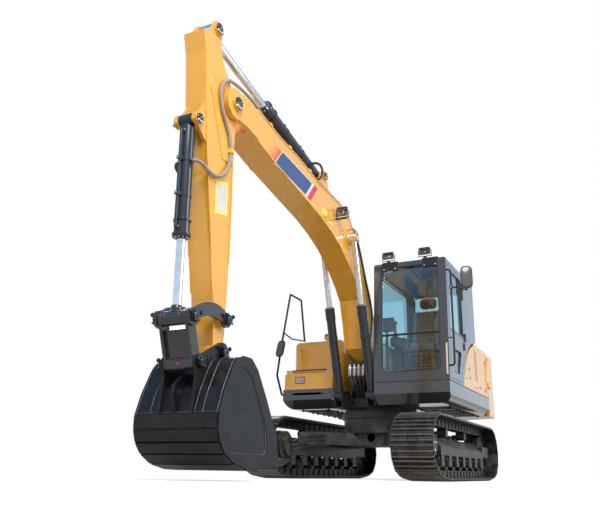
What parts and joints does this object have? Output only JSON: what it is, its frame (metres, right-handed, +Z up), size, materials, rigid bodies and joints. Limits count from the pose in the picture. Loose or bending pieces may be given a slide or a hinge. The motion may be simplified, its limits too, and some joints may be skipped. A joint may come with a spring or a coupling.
{
  "type": "crawler excavator",
  "caption": "Mid-size crawler excavator with slewing upper structure, cab, boom, arm and bucket on two steel tracks.",
  "frame": {"origin": "on the ground under the tracks, on the swing axis", "axes": "+X forward over the sprockets and along the working equipment, +Y to the cab side, +Z up"},
  "size_m": [7.048, 2.9373, 4.302],
  "materials": {
    "machine_yellow": "gloss",
    "frame_black": "satin",
    "track_steel": "satin",
    "deck_grey": "gloss",
    "glass": "gloss",
    "engine_iron": "matte",
    "seat_fabric": "matte",
    "trim_plastic": "matte",
    "lamp_plastic": "satin",
    "bucket_black": "satin",
    "cylinder_black": "gloss",
    "rod_chrome": "gloss"
  },
  "bodies": {
    "undercarriage": {"track_left": "track_steel", "track_right": "track_steel", "track_frame_left": "frame_black", "track_frame_right": "frame_black", "bottom_rollers": "frame_black", "carrier_rollers": "frame_black", "idlers": "frame_black", "sprockets": "frame_black", "centre_frame": "frame_black", "slewing_ring": "frame_black"},
    "upper": {"revolving_frame": "frame_black", "deck_left": "deck_grey", "deck_right": "deck_grey", "counterweight": "machine_yellow", "cab_body": "deck_grey", "cab_roof": "deck_grey", "windscreen": "glass", "screen_bar": "frame_black", "cab_side_glass": "glass", "seat": "seat_fabric", "cab_controls": "trim_plastic", "fuel_tank": "machine_yellow", "toolbox": "machine_yellow", "engine_room": "frame_black", "engine": "engine_iron", "handrails": "frame_black", "cab_rail": "frame_black", "mirrors": "trim_plastic", "cab_lamps": "lamp_plastic", "manifold": "frame_black"},
    "cab_door": {"cab_door": "deck_grey", "door_glass": "glass"},
    "left_side_door": {"left_side_door": "machine_yellow"},
    "right_side_door": {"right_side_door": "machine_yellow"},
    "engine_hood": {"engine_hood": "machine_yellow", "exhaust": "frame_black"},
    "toolbox_lid": {"toolbox_lid": "machine_yellow"},
    "boom": {"boom": "machine_yellow", "boom_lamp": "lamp_plastic", "boom_pipes": "cylinder_black"},
    "boom_cylinder_barrels": {"boom_cylinder_barrel": "cylinder_black"},
    "boom_cylinder_rods": {"boom_cylinder_rod": "rod_chrome"},
    "arm": {"arm": "machine_yellow"},
    "arm_cylinder_barrel": {"arm_cylinder_barrel": "cylinder_black"},
    "arm_cylinder_rod": {"arm_cylinder_rod": "rod_chrome"},
    "bucket": {"bucket": "bucket_black", "bucket_teeth": "bucket_black"},
    "bucket_link": {"bucket_link": "bucket_black"},
    "bucket_rocker": {"bucket_rocker": "bucket_black"},
    "bucket_cylinder_barrel": {"bucket_cylinder_barrel": "cylinder_black"},
    "bucket_cylinder_rod": {"bucket_cylinder_rod": "rod_chrome"}
  },
  "joints": [
    {"name": "swing", "type": "hinge", "parent": "undercarriage", "child": "upper", "pos_m": [0, 0, 0.9], "axis": [0, 0, 1], "continuous": true},
    {"name": "boom_lift", "type": "hinge", "parent": "upper", "child": "boom", "pos_m": [0.25, -0.06, 1.43], "axis": [0, -1, 0], "range_deg": [-66, 36]},
    {"name": "boom_cylinder_tilt", "type": "hinge", "parent": "upper", "child": "boom_cylinder_barrels", "pos_m": [0.8, -0.06, 1.06], "axis": [0, -1, 0], "range_deg": [-66.42, 36.23]},
    {"name": "boom_cylinder_stroke", "type": "slide", "parent": "boom_cylinder_barrels", "child": "boom_cylinder_rods", "axis": [0.2873, 0, 0.9578], "range_m": [-0.6932, 0.3786]},
    {"name": "arm_swing", "type": "hinge", "parent": "boom", "child": "arm", "pos_m": [4.29, -0.06, 3.53], "axis": [0, 1, 0], "range_deg": [-88, 14]},
    {"name": "arm_cylinder_tilt", "type": "hinge", "parent": "boom", "child": "arm_cylinder_barrel", "pos_m": [2.08, -0.06, 3.69], "axis": [0, -1, 0], "range_deg": [-1.01, 0.16]},
    {"name": "arm_cylinder_stroke", "type": "slide", "parent": "arm_cylinder_barrel", "child": "arm_cylinder_rod", "axis": [0.9784, 0, 0.2068], "range_m": [-1.039, 0.1661]},
    {"name": "bucket_curl", "type": "hinge", "parent": "arm", "child": "bucket", "pos_m": [4.31, -0.06, 1.062], "axis": [0, 1, 0], "range_deg": [-80, 88]},
    {"name": "bucket_cylinder_tilt", "type": "hinge", "parent": "arm", "child": "bucket_cylinder_barrel", "pos_m": [4.795, -0.06, 3.13], "axis": [0, -1, 0], "range_deg": [-1.39, 1.27]},
    {"name": "bucket_cylinder_stroke", "type": "slide", "parent": "bucket_cylinder_barrel", "child": "bucket_cylinder_rod", "axis": [-0.0136, 0, -0.9999], "range_m": [-0.4134, 0.4546]},
    {"name": "rocker_swing", "type": "hinge", "parent": "arm", "child": "bucket_rocker", "pos_m": [4.27, -0.06, 1.361], "axis": [0, -1, 0], "range_deg": [-58.22, 52.93]},
    {"name": "link_swing", "type": "hinge", "parent": "bucket", "child": "bucket_link", "pos_m": [4.645, -0.06, 0.93], "axis": [0, -1, 0], "range_deg": [-52.23, 57.45]},
    {"name": "cab_door", "type": "hinge", "parent": "upper", "child": "cab_door", "pos_m": [-0.013, 1.257, 1.98], "axis": [0, 0, 1], "range_deg": [0, 150]},
    {"name": "left_side_door", "type": "hinge", "parent": "upper", "child": "left_side_door", "pos_m": [-1.377, 1.257, 1.55], "axis": [0, 0, 1], "range_deg": [0, 100]},
    {"name": "right_side_door", "type": "hinge", "parent": "upper", "child": "right_side_door", "pos_m": [-1.377, -1.257, 1.55], "axis": [0, 0, -1], "range_deg": [0, 100]},
    {"name": "engine_hood", "type": "hinge", "parent": "upper", "child": "engine_hood", "pos_m": [-0.694, 0, 1.9423], "axis": [0, 1, 0], "range_deg": [0, 65]},
    {"name": "toolbox_lid", "type": "hinge", "parent": "upper", "child": "toolbox_lid", "pos_m": [0.314, -0.86, 1.492], "axis": [0, -1, 0], "range_deg": [0, 85]}
  ],
  "couplings": [
    {"joint": "boom_cylinder_tilt", "follows": "boom_lift", "ratio": 0.98662},
    {"joint": "boom_cylinder_stroke", "follows": "boom_lift", "m_per_rad": 0.58913},
    {"joint": "arm_cylinder_tilt", "follows": "arm_swing", "ratio": 0.01126},
    {"joint": "arm_cylinder_stroke", "follows": "arm_swing", "m_per_rad": 0.66257},
    {"joint": "bucket_cylinder_tilt", "follows": "bucket_curl", "ratio": -0.01552},
    {"joint": "bucket_cylinder_stroke", "follows": "bucket_curl", "m_per_rad": 0.28955},
    {"joint": "rocker_swing", "follows": "bucket_curl", "ratio": -0.64862},
    {"joint": "link_swing", "follows": "bucket_curl", "ratio": 0.64}
  ]
}
